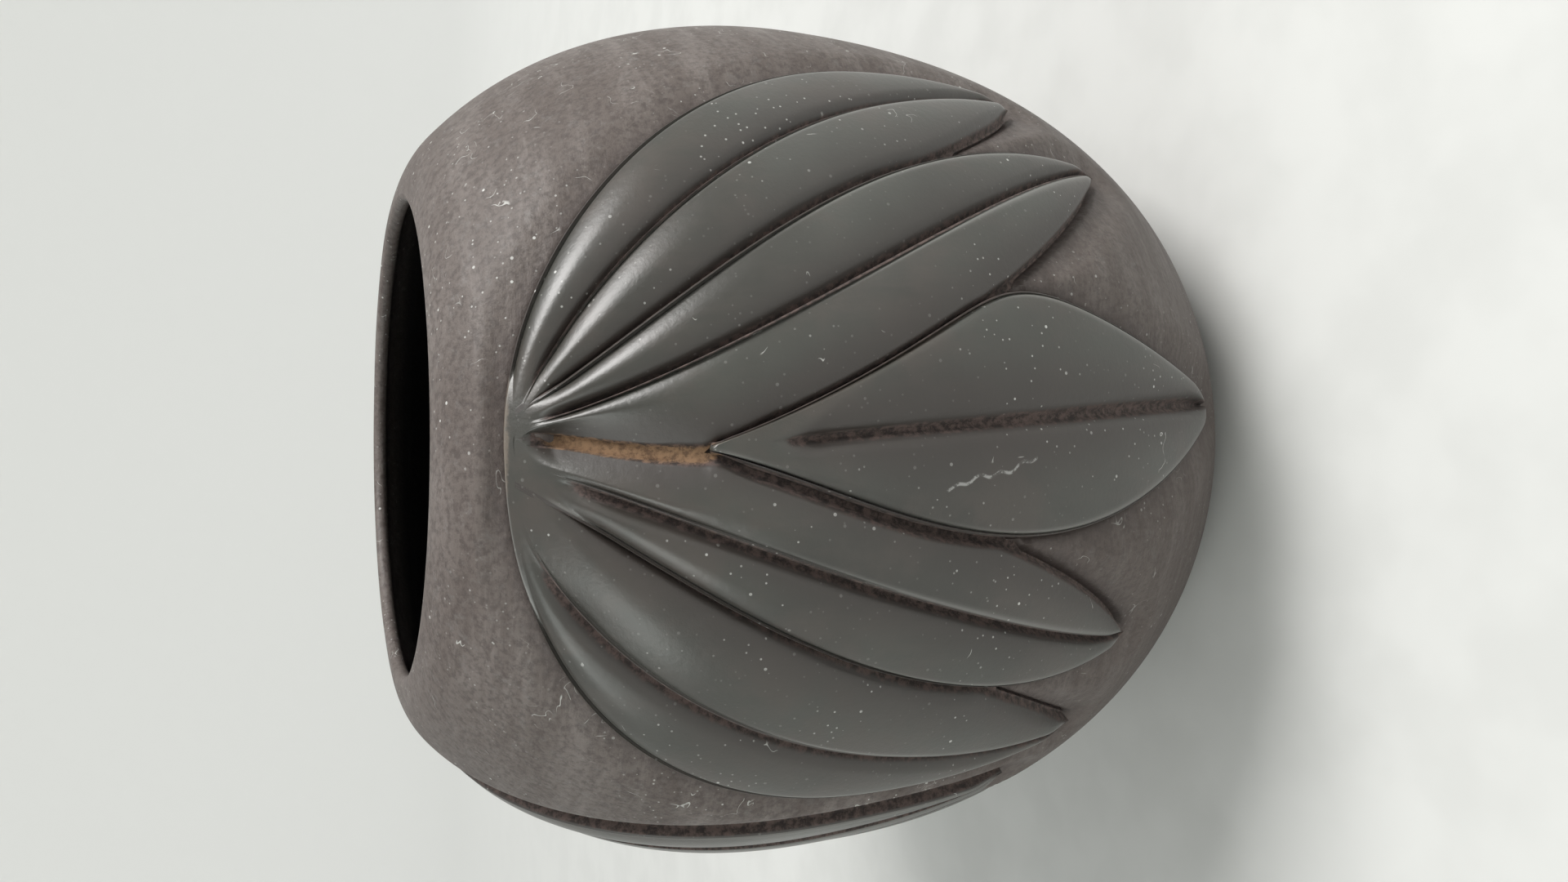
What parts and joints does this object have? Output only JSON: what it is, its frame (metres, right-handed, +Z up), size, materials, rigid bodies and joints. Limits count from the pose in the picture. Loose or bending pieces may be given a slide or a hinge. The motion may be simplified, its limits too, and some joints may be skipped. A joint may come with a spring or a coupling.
{
  "type": "clay jar",
  "caption": "Round black clay jar with a wide open mouth, a flat foot and carved fans of burnished leaves round its belly, for display or for holding small dry things.",
  "frame": {"origin": "centre of the flat foot, on the surface the jar stands on", "axes": "+Z up along the axis of the jar, towards the mouth; -Y towards the middle of the front fan of leaves; +X to the right as the front fan is seen"},
  "size_m": [0.1521, 0.1518, 0.1419],
  "materials": {
    "matte_clay": "unglazed, smooth and matte, warm grey-brown",
    "burnished_clay": "burnished to a satin sheen, dark olive grey"
  },
  "bodies": {
    "root": {"base_pad": "matte_clay", "lower_coil": "matte_clay", "belly_coil": "matte_clay", "shoulder_coil": "matte_clay", "rim": "matte_clay", "front_leaf_far_left": "burnished_clay", "front_leaf_left": "burnished_clay", "front_leaf_centre": "burnished_clay", "front_leaf_right": "burnished_clay", "front_leaf_far_right": "burnished_clay", "left_leaf_far_left": "burnished_clay", "left_leaf_left": "burnished_clay", "left_leaf_centre": "burnished_clay", "left_leaf_right": "burnished_clay", "left_leaf_far_right": "burnished_clay", "right_leaf_far_left": "burnished_clay", "right_leaf_left": "burnished_clay", "right_leaf_centre": "burnished_clay", "right_leaf_right": "burnished_clay", "right_leaf_far_right": "burnished_clay"}
  },
  "joints": []
}
